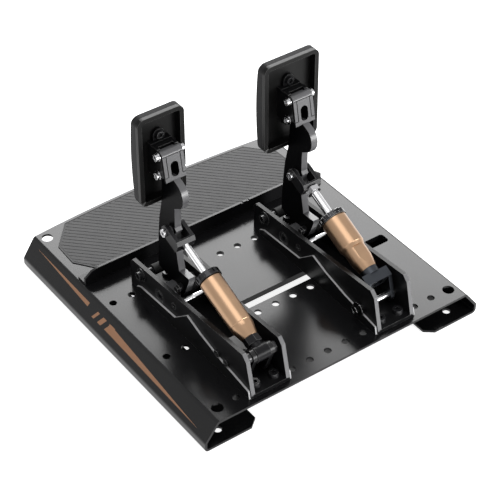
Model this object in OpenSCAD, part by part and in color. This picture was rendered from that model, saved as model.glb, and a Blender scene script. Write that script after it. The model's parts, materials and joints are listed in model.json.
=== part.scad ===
// Two-pedal set for sim racing: a bent sheet base, a throttle pedal and a brake pedal.
// Millimetres. Z is up, z = 0 is the underside of the base, -Y is the driver's side,
// and +X is the throttle's side. Pedal parts are drawn about their pivot, above the deck.

/* [Base plate] */
// Depth of the base, from its front edge to the middle of its bowed rear edge
base_d = 392; // [380:1:410]
// Width of the flat deck
deck_w = 350; // [350:1:370]
// Height of the deck above the floor
deck_z = 36; // [30:1:45]
// Sideways run of each sloping side
slope_run = 17.4; // [12:0.2:24]
// Drop of each sloping side
slope_drop = 23.2; // [16:0.2:24]
// Thickness of the sheet
sheet = 3; // [2:0.5:4]
// Outside radius of the bends
bend_r = 5; // [4.5:0.5:6]
// Width of each foot flange
flange_w = 73; // [60:1:80]
// Cut-off at the flange corners, across and along
flange_cut = [11, 9];
// Bow of the rear edge
rear_bow = 10.5; // [6:0.5:16]

/* [Holes in the base] */
// Pitch of the holes in a row
hole_pitch = 25; // [25:1:26]
// First and last hole of the front, middle and rear rows, in pitches from the middle
row_ends = [[-5.5, 5.5], [-4.5, 6.5], [-3.5, 6.5]];
// First and last place left out of the rear row
rear_skip = [1.5, 2.5];
// Diameter of the row holes
hole_d = 8.9; // [8.4:0.1:10]
// Front row, from the front edge
front_row = 19.4; // [17:0.2:24]
// Middle row, from the front edge
middle_row = 116.6; // [105:0.2:120]
// Rear row, from the front edge
rear_row = 226.5; // [215:0.5:240]
// Diameter of the access holes at the corners of the deck
access_d = 14; // [10:0.5:16]
// Diameter of the fixing holes in the flanges
fixing_d = 9; // [6:0.5:11]
// Sideways place of the corner holes
fixing_x = 163; // [158:0.5:165]
// Front corner holes, from the front edge
fixing_front = 18.4; // [16:0.2:26]
// Rear corner holes, from the middle of the rear edge
fixing_rear = 19.9; // [16:0.1:34]
// Left and right end of the cable slot
slot_ends = [-165, 100];
// Width of the cable slot
slot_d = 15; // [10:0.5:18]
// Middle of the cable slot, from the front edge
slot_at = 135.3; // [133:0.5:142]
// Corner radius of the cable slot
slot_r = 4; // [2:0.5:5]
// Depth of the lip folded down along the slot
lip_h = 4.5; // [3:0.5:14]
// Thickness of the bars under the front and the rear row
bar_t = [6, 2];
// Width of the bars
bar_w = 20; // [16:1:24]

/* [Heel rest] */
// Height of the upright heel stop
stop_h = 18.5; // [12:0.5:24]
// Thickness of the heel stop
stop_t = 3; // [2:0.5:4]
// Distance of the heel stop's ends from the deck's sides
stop_inset = 3; // [2:0.5:8]
// Front face of the heel stop, from the front edge
stop_at = 270.8; // [262:0.2:274]
// Depth of the heel stop's foot
stop_foot = 13; // [11:0.5:15]
// Sideways size of the stop's clipped corners
stop_clip = 20; // [10:1:24]
// Height of the stop at its clipped ends
stop_end_h = 9; // [6:0.5:11]
// Sideways place of the two notches in the stop
notch_x = [-52, -61];
// Width of a notch
notch_w = 3; // [2:0.5:4]
// Thickness of the heel mat
mat_t = 1; // [0.6:0.1:1.5]
// Half width of the heel mat at its widest
mat_half = 163; // [150:1:168]
// Corners down a side of the mat: in from its widest, and back from its front edge
mat_side = [[19, 0], [0, 26], [1.5, 61], [33, 97]];
// Margin of the mat to the rear edge
mat_margin = 4.5; // [3:0.5:8]
// Gap between the mat and the heel stop's foot
mat_gap = 1.5; // [0.5:0.5:3]
// Diameter of the heel stop's screws
stop_screw_d = 4; // [3:0.5:5]

/* [Pedal brackets] */
// Columns of holes from the middle to the throttle and to the brake
pedal_columns = [4, -3];
// Outside width of a bracket
bracket_w = 52; // [50:0.5:56]
// Thickness of a bracket's walls and floor
wall = 5; // [4:0.5:5.5]
// From the pivot forwards to the front bolts
pivot_to_bolts = 164.4; // [160:0.2:168]
// From the front bolts to the bracket's front
bracket_lead = 12.6; // [11:0.2:15]
// From the pivot back to the bracket's rear
bracket_tail = 60; // [56:1:66]
// Height of a wall at its rear and at its front
wall_h = [38, 53];
// Slant of a wall's front edge, and the height of its clipped corner
wall_slant = [17, 7];
// Height of the pivot above the deck
pivot_z = 22; // [20:0.5:25]
// Outside diameter of the pivot bearings
bearing_d = 17; // [15:0.5:19]
// Diameter of the pivot shaft
shaft_d = 10; // [8:0.5:11]
// Diameter of the bracket bolts
bolt_d = 8; // [6:0.5:8.2]
// Thickness of the stepped side plates
cheek_t = 2.5; // [2:0.5:3]
// Steps of a side plate: distance ahead of the pivot and height
cheek_steps = [[-37, 11], [33, 15], [58, 36], [83, 27], [120, 18], [174, 10]];

/* [Stops] */
// Rest pin: distance ahead of the pivot and height above the deck
rest_at = [-35.3, 29.5];
// Diameter of the rest pin
rest_d = 8; // [6:0.5:9]
// Diameter of the rubber on the rest pin
bumper_d = 13; // [12:0.5:14]
// Length of the rubber on the rest pin
bumper_w = 24; // [14:1:30]
// Gap left between the arm and the rubber
rest_gap = 0.3; // [0.2:0.1:0.6]
// Tilt of the arm's rest face
rest_tilt = 14; // [10:1:18]
// Spreader bar: distance ahead of the pivot and height above the deck
spreader_at = [28.5, 27.5];
// Diameter of the spreader bar
spreader_d = 7.5; // [6:0.5:9]

/* [Pedal arm] */
// Thickness of the arm
arm_t = 8.5; // [8:0.5:12]
// Clevis bolt: distance ahead of the pivot and height above the pivot
clevis_at = [-4.5, 83.3];
// Foot pin: distance ahead of the pivot and height above the pivot
foot_pin_at = [13, 12.5];
// Diameter of the foot pin's middle and of its ends
foot_pin_d = [9, 7];
// Length of the foot pin
foot_pin_w = 25; // [20:1:30]
// Rear edge of the arm, from the rest face up to the head, about the pivot
arm_rear = [[-33, 37], [-31, 62], [-28, 87], [-22.6, 110.5], [-20.5, 132], [-19.5, 156]];
// Front edge of the arm, from the head down to the clevis bolt, about the pivot
arm_front = [[3, 158], [8.5, 156], [14.7, 152.8], [19, 147.5], [21, 140], [20.2, 133.5],
             [17, 126.5], [4, 118.5], [3.4, 112], [3.4, 104]];
// Flat front face of the lug that carries the clevis, about the pivot
lug_face = [[1.6, 92.5], [5.6, 86.9]];
// Foot of the arm, below the clevis bolt, about the pivot
arm_foot = [[2.5, 72], [3.8, 58], [8.8, 32.3], [27.5, 33.5], [28, 31], [26.5, 26], [20, 9], [11, -6]];
// Radius of the arm's hub
hub_r = 12.5; // [11:0.5:14]

/* [Pedal head] */
// Width of the head
head_w = 27; // [26:0.5:32]
// Lean of the head's front plate
head_tilt = 10.5; // [8:0.5:14]
// Middle of the head's front face: distance ahead of the pivot and height above the pivot
head_at = [0.2, 175.3];
// Length of the head's front face
head_h = 37; // [35:0.5:38]
// Thickness of the head's front plate
face_t = 3.5; // [3:0.5:4]
// Radius of the bend at the top of the front plate
curl_r = 6.5; // [5:0.5:7]
// Grooves in the front face: distance in from its sides and up from its lower edge
groove_in = [5, 5];
// Width and depth of the grooves
groove = [1, 1];
// Pad screws: distance ahead of the pivot, heights above the pivot
pad_screw_y = -9.5; // [-11:0.5:-9.5]
pad_screw_z = [161, 185.5];
// Size of the opening in the head: width and height
head_eye = [10, 18.5];
// Height of the opening's middle above the pivot
head_eye_z = 170; // [168:0.5:172]
// Thickness of the pad bracket's web, cheeks and cap
pad_bracket_t = 4; // [3:0.5:4]
// Heights of the pad bracket's cheeks above the pivot
cheek_z = [152, 192.5];
// Front edge of the bracket's cap, ahead of the pivot
cap_y = -16; // [-18:0.5:-14]
// Width and depth of the groove across the cap
cap_groove = [4.5, 1];
// Heights of the pad's two bolts above the pivot
pad_bolt_z = [143.5, 198.5];
// Width of the bracket's tongues under the pad's bolts
tongue_w = 14.5; // [12:0.5:16]

/* [Pads] */
// Pad widths, throttle and brake
pad_w = [60, 76];
// Pad heights, throttle and brake
pad_h = [116, 117.5];
// Height of the pads' middle above the pivot
pad_z = 171; // [166:0.5:176]
// Front of the pads' rim, ahead of the pivot
pad_y = -23; // [-24:0.5:-22]
// Thickness of a pad at its ends
pad_t = 12.2; // [12:0.1:14]
// Extra thickness of a pad at mid height
pad_crown = 4; // [2:0.5:6]
// Corner radius of a pad
pad_r = 9; // [7:0.5:12]
// Width of a tray's rim
rim_w = 5.5; // [5:0.5:8]
// Depth of a tray's recess
tray_deep = 9.5; // [9:0.1:9.6]
// Depth of the rim in front of the tread
rim_t = 5; // [4:0.5:6]
// Thickness of a tray's floor
tray_floor = 1.2; // [1:0.1:1.5]
// Step between the rim and the body of a tray
tray_step = 2; // [1.5:0.5:2.5]

/* [Clevis and rod] */
// Outside width of a clevis
clevis_w = 24; // [22:0.5:26]
// Thickness of a clevis cheek
clevis_t = 4.5; // [3.5:0.5:4.5]
// Half height of a clevis cheek
clevis_r = 8; // [7:0.5:9]
// Clevis bolt to the far face of the bridge
clevis_l = 24.5; // [22:0.5:27]
// Thickness of the bridge
bridge_t = 6; // [5:0.5:8]
// Diameter of the clevis bolt
clevis_bolt_d = 6; // [5:0.5:7]
// Rod diameters, throttle and brake
rod_d = [8, 10];
// Radial room for the rods where they slide
rod_room = [0.55, 0.45];
// Length of the brake's lock nut
lock_nut_h = 6; // [5:0.5:8]

/* [Dampers] */
// Lower pins: distance ahead of the pivot and height above the deck
throttle_pin = [157, 40];
brake_pin = [144.5, 17];
// Distance of each lower pin below its damper's axis
pin_drop = [0, 18.2];
// Lower pin to the end of the sleeve, along the axis
sleeve_gap = [20, 30.5];
// Sleeve lengths
sleeve_l = [80, 71];
// Sleeve diameters at the collar
sleeve_d = [27, 31];
// Sleeve diameters past the seam
sleeve_mid_d = [26.4, 26.7];
// Sleeve diameters at the end
sleeve_end_d = [19, 21.7];
// Distance from the collar to the seam
seam_at = [62, 38];
// Distance from the collar to the last taper
taper_at = [66, 57];
// Bore of the sleeves
sleeve_bore = [21, 22];
// Depth of the sleeves' bores
bore_deep = [64, 55];
// Collar diameters
collar_d = [30, 33];
// Collar lengths
collar_l = [8, 7];
// Number of notches in a collar
notches = 16; // [8:1:20]
// Thickness of a piston
piston_t = 6; // [4:0.5:8]
// Piston's distance inside the sleeve
piston_in = 14; // [12:0.5:16]
// Width, height and length of the brake's end block
end_block = [35, 17, 12.5];
// Diameter and length of the neck between the sleeve and the end block
neck = [21, 7];
// Thickness of the end block's legs
leg_t = 5; // [4:0.5:7]
// Diameter of the lower pins
pin_d = 8; // [6:0.5:9]
// Diameter and width of the throttle's eye
eye_size = [18, 17.4];

/* [Fits] */
// Radial room of a pin in a bore
fit = 0.05; // [0.02:0.01:0.08]
// Room between parts that move past each other
room = 0.3; // [0.2:0.05:0.4]

/* [Hidden] */
$fn = 48;
bend_steps = 6;
// Underside of the plate, in plan: the front edge, the rear arc and the hole rows
front_y = base_d / 2;
base_half = deck_w / 2 + slope_run;
rear_r = (pow(base_half, 2) + pow(rear_bow, 2)) / (2 * rear_bow);
front_row_y = front_y - front_row;
middle_row_y = front_y - middle_row;
rear_row_y = front_y - rear_row;
slot_y = front_y - slot_at;
slot_x = (slot_ends[0] + slot_ends[1]) / 2;
slot_w = slot_ends[1] - slot_ends[0];
bar_y = [front_row_y, rear_row_y];
fixing_y = [front_y - fixing_front, fixing_rear - base_d / 2];
slope_a = atan2(slope_drop, slope_run);
stop_y = front_y - stop_at;
stop_w = deck_w - 2 * stop_inset;
// Pedals: place of the pivot and of the bolts
pivot_y = front_row_y - pivot_to_bolts;
bolt_y = [pivot_to_bolts, rear_row_y - pivot_y];
pedal_x = [for (c = pedal_columns) c * hole_pitch];
inner = bracket_w / 2 - wall;
outer = bracket_w / 2;
cheek_out = outer + cheek_t;
bracket_front = pivot_to_bolts + bracket_lead;
// Dampers: tilt of each axis, and the lower pin's distance along it
lower_pin = [throttle_pin, brake_pin];
clevis_yz = [clevis_at[0], pivot_z + clevis_at[1]];
reach = [for (p = lower_pin) norm(p - clevis_yz)];
tilt = [for (p = [0, 1]) atan2(clevis_yz[1] - lower_pin[p][1], lower_pin[p][0] - clevis_yz[0])
        - asin(pin_drop[p] / reach[p])];
pin_s = [for (p = [0, 1]) sqrt(pow(reach[p], 2) - pow(pin_drop[p], 2))];
sleeve_end = [for (p = [0, 1]) pin_s[p] - sleeve_gap[p]];
sleeve_start = [for (p = [0, 1]) sleeve_end[p] - sleeve_l[p]];
piston_s = [for (p = [0, 1]) sleeve_start[p] + piston_in];
// Pads: planes from the rim back to the tread
floor_y = pad_y - tray_deep;
web_front = floor_y + pad_bracket_t;
head_half = head_w / 2;
core_half = head_half - pad_bracket_t - fit;
core_top = cheek_z[1] - pad_bracket_t - fit;
core_back = web_front + 6;
block_s = sleeve_end[1] + neck[1];
// Fasteners: head diameters and heights
bolt_head = [13, 5];
nut_h = 6.5;
washer = [17, 1.6];
screw_head = [8.5, 5];
small_nut_h = 5;
anchor_screw_d = 5;
hexagon = [17, 9];
cell_size = [12, 9];
anchor_screws = [[115, 22], [132, 21]];
sensor_box = [13, 28, 24];
sensor_drop = 8;
sensor_wall = 3;
sensor_socket = [7, 5.5, 9];
magnet = [6, 2.5];

black = "#2b2b2d";
dark = "#1c1c1e";
grey = "#6f7072";
steel = "#b9bcc0";
copper = "#c89b6e";
rubber = "#232325";

function arc(c, r, a0, a1) =
    [for (i = [0 : bend_steps]) c + r * [cos(a0 + (a1 - a0) * i / bend_steps),
                                         sin(a0 + (a1 - a0) * i / bend_steps)]];

// Right half of the folded section, from the deck's top round the outside and back inside
function bend_centres() =
    [[deck_w / 2 - bend_r * tan(slope_a / 2), deck_z - bend_r],
     [base_half - bend_r, deck_z - slope_drop - bend_r * tan((90 - slope_a) / 2)],
     [base_half - bend_r, bend_r]];
function bend_side(r) =
    concat(arc(bend_centres()[0], r, 90, 90 - slope_a),
           arc(bend_centres()[1], r, 90 - slope_a, 0),
           arc(bend_centres()[2], r, 0, -90));
function turned(pts) = [for (i = [len(pts) - 1 : -1 : 0]) pts[i]];
function mirrored(pts) = [for (i = [len(pts) - 1 : -1 : 0]) [-pts[i][0], pts[i][1]]];
function half_section() =
    concat(bend_side(bend_r),
           [[base_half - flange_w, 0], [base_half - flange_w, sheet]],
           turned(bend_side(bend_r - sheet)));

module rounded(w, h, r) {
    square([w - 2 * r, h], center = true);
    square([w, h - 2 * r], center = true);
    for (x = [-1, 1], y = [-1, 1])
        translate([x * (w / 2 - r), y * (h / 2 - r)]) circle(r);
}

// A plate with its outline in Y and Z, between two X planes
module slab(x0, x1) {
    translate([x0, 0, 0]) rotate([90, 0, 90]) linear_extrude(x1 - x0) children();
}

// A round bar along X at a point given in Y and Z
module bar(at, x0, x1, d) {
    translate([x0, at[0], at[1]]) rotate([0, 90, 0]) cylinder(d = d, h = x1 - x0);
}

// A six-sided bar along X
module hex_bar(at, x0, x1, across) {
    translate([x0, at[0], at[1]]) rotate([0, 90, 0])
        cylinder(d = across / cos(30), h = x1 - x0, $fn = 6);
}

module pedal(p) {
    translate([pedal_x[p], pivot_y, deck_z]) children();
}

// Parts on the arm are drawn with the pivot at the origin
module on_pivot(p) {
    pedal(p) translate([0, 0, pivot_z]) children();
}

// Along a damper: z runs down the axis from the clevis bolt, and -y points up from it
module on_damper(p) {
    pedal(p) translate([0, clevis_yz[0], clevis_yz[1]]) rotate([-90 - tilt[p], 0, 0]) children();
}

// A plate beside a damper's axis, with its outline along the axis and up from it
module damper_slab(x0, x1) {
    translate([x0, 0, 0]) rotate([90, 0, 0]) rotate([90, 0, 90]) linear_extrude(x1 - x0) children();
}

function row_places(row) = [for (c = [row_ends[row][0] : row_ends[row][1]])
                            if (row < 2 || c < rear_skip[0] || c > rear_skip[1]) c];

module deck_holes(row, row_y) {
    for (c = row_places(row))
        translate([c * hole_pitch, row_y, deck_z - 2 * sheet]) cylinder(d = hole_d, h = 3 * sheet);
}

module base_plate() color(black) {
    intersection() {
        translate([0, front_y + base_half, -1]) mirror([0, 1, 0])
            translate([-base_half - 1, base_half, 0]) cube([2 * base_half + 2, base_d, deck_z + 2]);
        translate([0, rear_r - base_d / 2, -1]) cylinder(r = rear_r, h = deck_z + 2, $fn = 720);
        difference() {
            union() {
                translate([0, front_y, 0]) rotate([90, 0, 0]) linear_extrude(base_d)
                    polygon(concat(half_section(), mirrored(half_section())));
                translate([slot_ends[0] + slot_r, slot_y - slot_d / 2 - sheet, deck_z - sheet - lip_h])
                    cube([slot_w - 2 * slot_r, sheet, lip_h + sheet / 2]);
            }
            deck_holes(0, front_row_y);
            deck_holes(1, middle_row_y);
            deck_holes(2, rear_row_y);
            translate([slot_x, slot_y, deck_z - 2 * sheet]) linear_extrude(3 * sheet)
                rounded(slot_w, slot_d, slot_r);
            for (x = [-fixing_x, fixing_x], y = fixing_y) {
                translate([x, y, deck_z - 2 * sheet]) cylinder(d = access_d, h = 3 * sheet);
                translate([x, y, -sheet]) cylinder(d = fixing_d, h = 3 * sheet);
            }
            for (x = stop_screw_x())
                translate([x, stop_screw_y(), deck_z - 2 * sheet])
                    cylinder(d = stop_screw_d + 2 * fit, h = 3 * sheet);
            for (side = [-1, 1])
                translate([0, 0, -sheet]) linear_extrude(3 * sheet)
                    polygon([[side * (base_half - flange_w - 1), front_y - flange_cut[1]],
                             [side * (base_half - flange_w), front_y - flange_cut[1]],
                             [side * (base_half - flange_w + flange_cut[0]), front_y],
                             [side * (base_half - flange_w + flange_cut[0]), front_y + 1],
                             [side * (base_half - flange_w - 1), front_y + 1]]);
        }
    }
}

function stop_screw_x() = [for (i = [-2 : 2]) i * stop_w / 4 * 0.94];
function stop_screw_y() = stop_y - stop_t - stop_foot / 2 + 1;

module heel_stop() color(dark) translate([0, stop_y, deck_z]) {
    rotate([90, 0, 0]) linear_extrude(stop_t) difference() {
        polygon([[-stop_w / 2, 0], [stop_w / 2, 0], [stop_w / 2, stop_end_h],
                 [stop_w / 2 - stop_clip / 2, stop_h - 2], [stop_w / 2 - stop_clip, stop_h],
                 [-stop_w / 2 + stop_clip, stop_h], [-stop_w / 2 + stop_clip / 2, stop_h - 2],
                 [-stop_w / 2, stop_end_h]]);
        for (x = notch_x)
            translate([x, stop_h]) square([notch_w, 2.5], center = true);
    }
    difference() {
        translate([-stop_w / 2, -stop_t - stop_foot, 0]) cube([stop_w, stop_foot + stop_t / 2, stop_t]);
        for (x = stop_screw_x())
            translate([x, stop_screw_y() - stop_y, -1])
                cylinder(d = stop_screw_d + 2 * fit, h = stop_t + 2);
    }
}

module heel_stop_screws() color(dark)
    for (x = stop_screw_x())
        translate([x, stop_screw_y(), deck_z]) {
            translate([0, 0, stop_t]) cylinder(d1 = 2 * stop_screw_d, d2 = 1.2 * stop_screw_d, h = 2.2);
            translate([0, 0, -sheet - 4]) cylinder(d = stop_screw_d, h = sheet + stop_t + 4);
            translate([0, 0, -sheet - 3.2]) cylinder(d = 1.8 * stop_screw_d / cos(30), h = 3.2, $fn = 6);
        }

module heel_mat() color(dark) intersection() {
    translate([0, 0, deck_z]) linear_extrude(mat_t) mat_outline();
    translate([0, rear_r - base_d / 2 + mat_margin, deck_z - 1])
        cylinder(r = rear_r, h = mat_t + 2, $fn = 720);
}

module mat_outline() {
    mat_front = stop_y - stop_t - stop_foot - mat_gap;
    half = concat([for (s = mat_side) [mat_half - s[0], mat_front - s[1]]],
                  [[mat_half - mat_side[3][0], -base_d / 2]]);
    polygon(concat(half, mirrored(half)));
}

module bracket_bolts() color(steel)
    for (p = [0, 1], row = [0, 1], side = [-1, 1])
        pedal(p) translate([side * hole_pitch / 2, bolt_y[row], 0]) {
            translate([0, 0, wall]) difference() {
                cylinder(d1 = bolt_head[0], d2 = bolt_head[0] - 2, h = bolt_head[1]);
                translate([0, 0, 2.5]) cylinder(d = 5 / cos(30), h = bolt_head[1], $fn = 6);
            }
            translate([0, 0, -sheet - bar_t[row] - nut_h - 2])
                cylinder(d = bolt_d, h = wall + sheet + bar_t[row] + nut_h + 2.5);
        }

function bar_end(row, side) = side * bar_w / 2
    + hole_pitch * (side < 0 ? row_ends[2 * row][0] : min(row_ends[2 * row][1], row_ends[0][1]));
function at_bolt(c) = min([for (p = pedal_columns) abs(abs(c - p) - 0.5)]) < 0.1;

// Bars below the deck under the front and the rear row, with a nut welded on for each bracket bolt
module bolt_bars() color(dark)
    for (row = [0, 1])
        translate([0, bar_y[row], deck_z - sheet - bar_t[row]]) difference() {
            union() {
                translate([bar_end(row, -1), -bar_w / 2, 0])
                    cube([bar_end(row, 1) - bar_end(row, -1), bar_w, bar_t[row]]);
                for (x = pedal_x, side = [-1, 1])
                    translate([x + side * hole_pitch / 2, 0, -nut_h])
                        cylinder(d = 1.6 * bolt_d / cos(30), h = nut_h + bar_t[row] / 2, $fn = 6);
            }
            for (c = row_places(2 * row))
                translate([c * hole_pitch, 0, -nut_h - 1])
                    cylinder(d = at_bolt(c) ? bolt_d + 2 * fit : hole_d, h = nut_h + bar_t[row] + 2);
        }

module bracket(p) color(dark) pedal(p) difference() {
    union() {
        for (side = [-1, 1])
            slab(side < 0 ? -outer : inner, side < 0 ? -inner : outer) wall_outline();
        translate([-inner - wall / 2, -bracket_tail, 0])
            cube([2 * inner + wall, bracket_front + bracket_tail, wall]);
    }
    bar([0, pivot_z], -outer - 1, outer + 1, bearing_d + 2 * fit);
    bar(rest_at, -outer - 1, outer + 1, rest_d + 2 * fit);
    bar(spreader_at, -outer - 1, outer + 1, spreader_screw_d() + 2 * fit);
    for (side = [-1, 1])
        translate([side * (outer - screw_head[0] / 4), 0, 0]) mirror([side < 0 ? 1 : 0, 0, 0])
            bar(spreader_at, 0, outer, screw_head[0] + 2 * fit);
    if (p == 1)
        bar(lower_pin[p], -outer - 1, outer + 1, pin_d + 2 * fit);
    if (p == 0)
        for (s = anchor_screws)
            bar(s, -outer - 1, outer + 1, anchor_screw_d + 2 * fit);
    for (y = bolt_y, side = [-1, 1])
        translate([side * hole_pitch / 2, y, -1]) cylinder(d = hole_d, h = wall + 2);
}

function spreader_screw_d() = 5;

// A wall of a bracket: its top rises to the front, where it leans back over the floor
module wall_outline() {
    polygon([[-bracket_tail, 0], [bracket_front, 0], [bracket_front, wall - 1],
             [bracket_front - wall_slant[0] + wall_slant[1], wall_h[1] - wall_slant[1]],
             [bracket_front - wall_slant[0], wall_h[1]],
             [-bracket_tail + 4, wall_h[0]], [-bracket_tail, wall_h[0] - 5]]);
}

module side_plates(p) color(dark) pedal(p)
    difference() {
        for (side = [-1, 1])
            slab(side < 0 ? -cheek_out : outer, side < 0 ? -outer : cheek_out)
                polygon(concat([[cheek_steps[5][0] + 2, 0], [cheek_steps[0][0] - 8, 0],
                                [cheek_steps[0][0] - 8, cheek_steps[0][1] - 4]],
                               cheek_steps));
        if (p == 1)
            bar(lower_pin[p], -outer * 2, outer * 2, pin_d + 2 * fit);
        if (p == 0)
            for (s = anchor_screws)
                bar(s, -outer * 2, outer * 2, screw_head[0] + 1);
    }

module pivot_bearings() color(steel)
    for (p = [0, 1], side = [-1, 1])
        pedal(p) difference() {
            bar([0, pivot_z], side < 0 ? -outer : inner, side < 0 ? -inner : outer, bearing_d);
            bar([0, pivot_z], -outer - 1, outer + 1, shaft_d + 2 * fit);
            translate([side * (outer - 0.5), 0, 0]) mirror([side < 0 ? 1 : 0, 0, 0]) difference() {
                bar([0, pivot_z], 0, 1, bearing_d - 2.4);
                bar([0, pivot_z], -1, 2, shaft_d + 2.4);
            }
        }

module spreader_bar(p) color(steel) pedal(p) difference() {
    bar(spreader_at, -inner, inner, spreader_d);
    for (side = [-1, 1])
        translate([side * inner, 0, 0])
            bar(spreader_at, -10 - fit, 10 + fit, spreader_screw_d() - 1 + 2 * fit);
}

module spreader_screws() color(steel)
    for (p = [0, 1], side = [-1, 1])
        pedal(p) mirror([side < 0 ? 1 : 0, 0, 0]) difference() {
            union() {
                bar(spreader_at, inner - 10, inner + 1, spreader_screw_d() - 1);
                bar(spreader_at, inner, outer - screw_head[0] / 4 + 0.5, spreader_screw_d());
                bar(spreader_at, outer - screw_head[0] / 4, outer, screw_head[0]);
            }
            hex_bar(spreader_at, outer - 1.5, outer + 1, 3.5);
        }

// A pin through both walls, with a washer and a six-sided head on the +X side and a nut on the other
module through_pin(at, d, out) {
    bar(at, -out, out, d);
    bar(at, out, out + washer[1], d + 9);
    bar(at, -out - washer[1], -out, d + 9);
    difference() {
        bar(at, out + washer[1], out + washer[1] + screw_head[1], d + 3);
        hex_bar(at, out + washer[1] + 2, out + washer[1] + screw_head[1] + 1, d - 2.5);
    }
    hex_bar(at, -out - washer[1] - small_nut_h, -out - washer[1], d + 5);
}

module rest_pin(p) color(steel) pedal(p)
    through_pin(rest_at, rest_d, outer);

module rest_bumper(p) color(rubber) pedal(p) difference() {
    bar(rest_at, -bumper_w / 2, bumper_w / 2, bumper_d);
    bar(rest_at, -bumper_w, bumper_w, rest_d + 2 * fit);
}

// Fork that carries the throttle's damper between the bracket walls
module throttle_anchor() color(dark) pedal(0) difference() {
    union() {
        slab(-inner, inner) anchor_base();
        for (side = [-1, 1])
            slab(side < 0 ? -anchor_ear() : anchor_ear() - leg_t,
                 side < 0 ? leg_t - anchor_ear() : anchor_ear())
                anchor_ear_outline();
    }
    bar(lower_pin[0], -outer, outer, pin_d + 2 * fit);
    for (s = anchor_screws)
        bar(s, -outer, outer, anchor_screw_d - 1 + 2 * fit);
}

function anchor_ear() = eye_size[1] / 2 + room + leg_t;

module anchor_base() {
    translate([anchor_screws[0][0] - 8, wall])
        square([anchor_screws[1][0] - anchor_screws[0][0] + 16, anchor_screws[0][1] + 5 - wall]);
}

module anchor_ear_outline() {
    polygon([[anchor_screws[1][0] - 6, wall], [pivot_to_bolts - bolt_head[0], wall],
             lower_pin[0] + [pin_d * 0.8, -pin_d * 0.6], lower_pin[0] - [pin_d * 0.8, -pin_d * 0.6],
             [anchor_screws[1][0] - 6, anchor_screws[0][1] + 5]]);
    translate(lower_pin[0]) circle(pin_d);
}

module throttle_anchor_screws() color(steel) pedal(0)
    for (s = anchor_screws, side = [-1, 1])
        mirror([side < 0 ? 1 : 0, 0, 0]) difference() {
            union() {
                bar(s, inner - 8, inner + 1, anchor_screw_d - 1);
                bar(s, inner, outer, anchor_screw_d);
                bar(s, outer, outer + 3, screw_head[0]);
            }
            hex_bar(s, outer + 1.5, outer + 4, 3.5);
        }

module throttle_lower_pin() color(steel) pedal(0) {
    bar(lower_pin[0], -anchor_ear() - 1, anchor_ear() + 1, pin_d);
    bar(lower_pin[0], anchor_ear(), anchor_ear() + 4, pin_d + 4);
    hex_bar(lower_pin[0], -anchor_ear() - 4.5, -anchor_ear(), pin_d + 4);
}

module brake_lower_pin() color(steel) pedal(1)
    through_pin(lower_pin[1], pin_d, cheek_out);

// Sensor housing over the shaft's end, with a cable socket at its rear
module throttle_sensor() color(dark) pedal(0) difference() {
    translate([-outer - sensor_box[0], -sensor_box[1] / 2, pivot_z - sensor_drop]) cube(sensor_box);
    bar([0, pivot_z], -outer - sensor_box[0] + sensor_wall, -outer + 1, shaft_d + 3);
    translate([sensor_wall - outer - sensor_box[0], -sensor_box[1] / 2 - 1, pivot_z + 1])
        cube(sensor_socket);
}

module pivot_shaft(p) color(steel) on_pivot(p) difference() {
    bar([0, 0], -outer, outer, shaft_d);
    hex_bar([0, 0], outer - 3, outer + 1, 5);
}

module throttle_magnet() color(steel) on_pivot(0)
    bar([0, 0], -outer - magnet[1], -outer, magnet[0]);

// The arm's outline about the pivot, from its rest face up to the head
module arm_outline() {
    rest = rest_at - [0, pivot_z];
    function rest_z(y) = rest[1]
        + (bumper_d / 2 + rest_gap - (y - rest[0]) * sin(rest_tilt)) / cos(rest_tilt);
    polygon(concat([[-hub_r * 0.9, -hub_r * 0.45], [-18, rest_z(-18)],
                    [-33.5, rest_z(-33.5)]], arm_rear, arm_front, arm_foot));
    circle(hub_r);
    hull() {
        translate(clevis_at) circle(clevis_r - 0.5);
        polygon(concat([clevis_at], lug_face));
    }
    translate(foot_pin_at) circle(foot_pin_d[0] - 1);
}

module arm(p) color(dark) on_pivot(p) difference() {
    union() {
        slab(-arm_t / 2, arm_t / 2) arm_outline();
        bar([0, 0], -inner + room, inner - room, 2 * hub_r - 3);
        bar(clevis_at, -lug_half(), lug_half(), clevis_bolt_d + 4);
        head_block();
    }
    bar([0, 0], -outer, outer, shaft_d + 2 * fit);
    bar(clevis_at, -clevis_w, clevis_w, clevis_bolt_d + 2 * fit);
    bar(foot_pin_at, -foot_pin_w, foot_pin_w, foot_pin_d[0] + 2 * fit);
    pad_screw_bores();
    head_face() {
        translate([0, (head_eye_z - head_at[1]) / cos(head_tilt), -4]) linear_extrude(20)
            capsule(head_eye[0], head_eye[1]);
        translate([0, 0, -groove[1]]) linear_extrude(2 * groove[1]) face_grooves();
    }
}

// A groove up each side that turns out to the edge at its foot, and one across below the bend
module face_grooves() {
    foot = groove_in[1] - head_h / 2;
    top = head_h / 2 - curl_r;
    for (side = [0, 1])
        mirror([side, 0, 0]) translate([head_half - groove_in[0], foot]) {
            square([groove[0], top - foot]);
            square([groove_in[0] + 1, groove[0]]);
        }
    translate([-head_half - 1, top]) square([head_w + 2, groove[0]]);
}

function lug_half() = clevis_w / 2 - clevis_t - room;
function pad_screw_d() = 5;
function pad_screw_tip() = head_eye[0] / 2 + 1;

module pad_screw_bores()
    for (z = pad_screw_z, side = [0, 1])
        mirror([side, 0, 0])
            bar([pad_screw_y, z], pad_screw_tip() - fit, head_w, pad_screw_d() + 2 * fit);

// Looking into the head's front face: x across, y up the face, z into the block
module head_face() {
    translate([0, head_at[0], head_at[1]]) rotate([90 + head_tilt, 0, 0]) children();
}

// A point in Y and Z from its distance up the front face and behind it
function behind_face(up, back) = head_at + up * [-sin(head_tilt), cos(head_tilt)]
    - back * [cos(head_tilt), sin(head_tilt)];

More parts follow.
